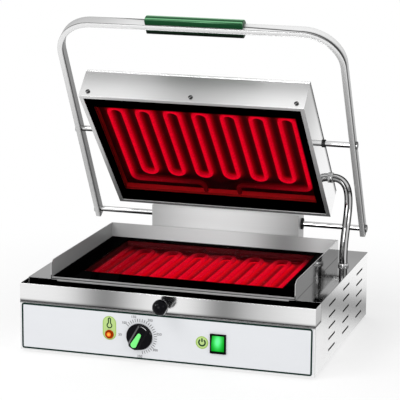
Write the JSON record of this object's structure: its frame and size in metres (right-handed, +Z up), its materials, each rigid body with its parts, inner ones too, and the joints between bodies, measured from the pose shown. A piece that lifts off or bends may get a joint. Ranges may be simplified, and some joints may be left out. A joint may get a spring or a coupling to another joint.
{
  "type": "contact grill",
  "caption": "Countertop contact grill: steel body with black glass plate, drip tray and controls, and a heated lid hung on pins in a bail handle with a grip.",
  "frame": {"origin": "on the floor, in the middle of the bounding box of the open grill", "axes": "+X to the right seen from the front, +Y to the rear, +Z up; the control panel faces -Y"},
  "size_m": [0.525, 0.4506, 0.5686],
  "materials": {
    "steel": "polished stainless sheet",
    "bar_steel": "satin stainless bar",
    "bright_steel": "turned bright steel",
    "dark_steel": "oiled dark steel",
    "chrome": "polished",
    "pan": "heat stained",
    "rubber": "matt",
    "seal": "matt silicone",
    "black_glass": "polished glass ceramic",
    "insulation": "pressed fibre board",
    "glowing_tube": "heater tube at working heat",
    "black_plastic": "matt",
    "knob_black": "gloss",
    "pointer_green": "gloss",
    "lit_green": "lit from inside",
    "lamp_lens": "lit lens",
    "panel": "satin film",
    "grip_green": "satin",
    "ceramic": "unglazed"
  },
  "bodies": {
    "base": {"base_shell": "steel", "bottom_plate": "steel", "feet": "rubber", "top_deck": "steel", "splash_guard": "steel", "plate_frame": "steel", "lower_seal": "seal", "lower_glass": "black_glass", "lower_pan": "pan", "lower_insulation": "insulation", "lower_element": "glowing_tube", "thermostat_bulb": "bright_steel", "thermostat": "black_plastic", "rocker_housing": "black_plastic", "pilot_lens": "lamp_lens", "lamp_holder": "black_plastic", "control_panel": "panel", "hinge_box": "steel", "hinge_cover": "steel", "cover_screws": "bright_steel", "hinge_bushes": "dark_steel", "counter_springs": "dark_steel", "cable_gland": "black_plastic", "terminal_block": "ceramic", "conduit": "chrome", "conduit_base_nut": "chrome"},
    "tray": {"drip_tray": "steel", "tray_knob": "knob_black"},
    "dial": {"thermostat_knob": "knob_black", "knob_pointer": "pointer_green", "thermostat_spindle": "bright_steel"},
    "rocker": {"rocker_button": "lit_green"},
    "arm": {"bail": "bar_steel", "grip": "grip_green", "hinge_shaft": "bright_steel", "spring_collars": "dark_steel", "pivot_pins": "bright_steel", "arm_screws": "bright_steel"},
    "lid": {"lid_shell": "steel", "lid_cover": "steel", "upper_seal": "seal", "upper_glass": "black_glass", "upper_pan": "pan", "upper_insulation": "insulation", "upper_element": "glowing_tube", "lid_screws": "bright_steel", "pin_bushes": "dark_steel", "conduit_lid_nut": "chrome"}
  },
  "joints": [
    {"name": "arm_hinge", "type": "hinge", "parent": "base", "child": "arm", "pos_m": [0, 0.19185, 0.1706], "axis": [1, 0, 0], "range_deg": [0, 57.67], "deforming": ["conduit"]},
    {"name": "lid_pivot", "type": "hinge", "parent": "arm", "child": "lid", "pos_m": [0, 0.09395, 0.34155], "axis": [1, 0, 0], "range_deg": [-10.7, 0]},
    {"name": "tray_slide", "type": "slide", "parent": "base", "child": "tray", "axis": [0, -1, 0], "range_m": [0, 0.035]},
    {"name": "knob_turn", "type": "hinge", "parent": "base", "child": "dial", "pos_m": [-0.0435, -0.18955, 0.0465], "axis": [0, 1, 0], "range_deg": [0, 315]},
    {"name": "rocker_tilt", "type": "hinge", "parent": "base", "child": "rocker", "pos_m": [0.0944, -0.18705, 0.0465], "axis": [1, 0, 0], "range_deg": [0, 18]}
  ],
  "couplings": [
    {"joint": "lid_pivot", "follows": "arm_hinge", "ratio": -0.185}
  ]
}
